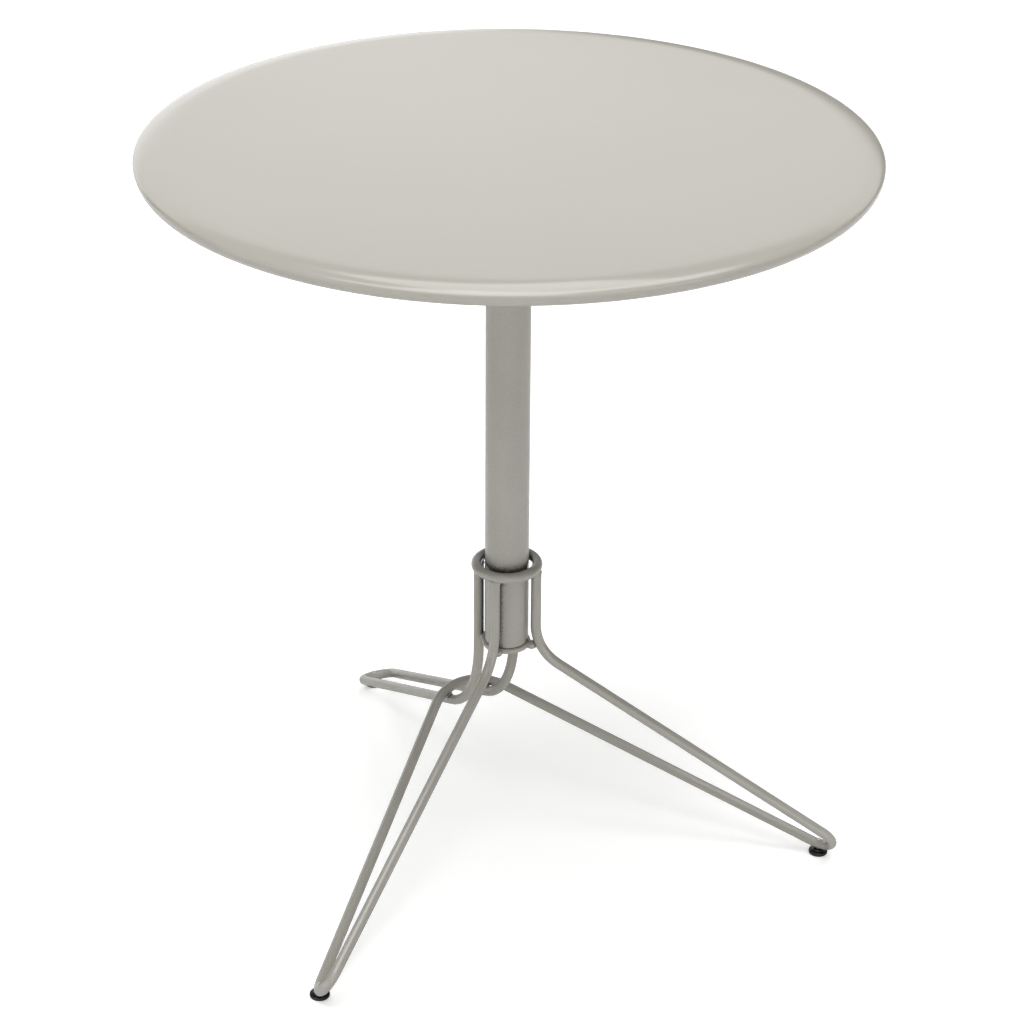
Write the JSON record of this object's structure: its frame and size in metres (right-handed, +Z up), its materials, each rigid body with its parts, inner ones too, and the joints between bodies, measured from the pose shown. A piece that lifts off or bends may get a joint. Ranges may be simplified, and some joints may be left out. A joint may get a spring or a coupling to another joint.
{
  "type": "bistro table",
  "caption": "Small round steel bistro table whose top tips upright on a pivot above a post held by bent-rod hairpin legs.",
  "frame": {"origin": "on the floor under the centre of the post", "axes": "+Z up; +Y towards the single rear leg, which is the edge of the top that rises when it tips; X is along the pivot bolt, with the clamping lever on +X"},
  "size_m": [0.67, 0.6743, 0.745],
  "materials": {
    "top_paint": "satin warm grey powder coat, nearly smooth",
    "base_paint": "satin warm grey powder coat, fine texture",
    "zinc_steel": "bright zinc plate",
    "cast_alloy": "as cast, tumbled",
    "black_gloss": "polished black",
    "black_matte": "fine spark texture",
    "nylon": "natural off-white",
    "rubber": "moulded matte black"
  },
  "bodies": {
    "base": {"pivot_bush_left": "nylon", "pivot_bush_right": "nylon", "pivot_head": "cast_alloy", "rest_bumper": "rubber", "post_tube": "base_paint", "post_plug": "black_matte", "upper_ring": "base_paint", "lower_ring": "base_paint", "leg_rod_pair": "base_paint", "leg_rod_single": "base_paint", "glide_pad_left": "black_gloss", "glide_pad_right": "black_gloss", "glide_pad_rear": "black_gloss", "glide_screw_left": "zinc_steel", "glide_screw_right": "zinc_steel", "glide_screw_rear": "zinc_steel"},
    "top": {"table_top": "top_paint", "top_rail_front": "top_paint", "top_rail_back": "top_paint", "hinge_plate": "zinc_steel", "weld_stud_1": "zinc_steel", "weld_stud_2": "zinc_steel", "weld_stud_3": "zinc_steel", "weld_stud_4": "zinc_steel", "flange_nut_1": "zinc_steel", "flange_nut_2": "zinc_steel", "flange_nut_3": "zinc_steel", "flange_nut_4": "zinc_steel", "storage_buffer": "rubber", "pivot_bolt": "zinc_steel", "head_washer": "zinc_steel", "cam_washer": "zinc_steel", "cam_pin": "zinc_steel"},
    "lever": {"clamp_lever": "cast_alloy", "lever_grip": "black_matte"}
  },
  "joints": [
    {"name": "top_tilt", "type": "hinge", "parent": "base", "child": "top", "pos_m": [0, 0, 0.7], "axis": [1, 0, 0], "range_deg": [0, 90]},
    {"name": "clamp_lever", "type": "hinge", "parent": "top", "child": "lever", "pos_m": [0.0411, 0, 0.7], "axis": [0, 0, -1], "range_deg": [0, 110]}
  ]
}
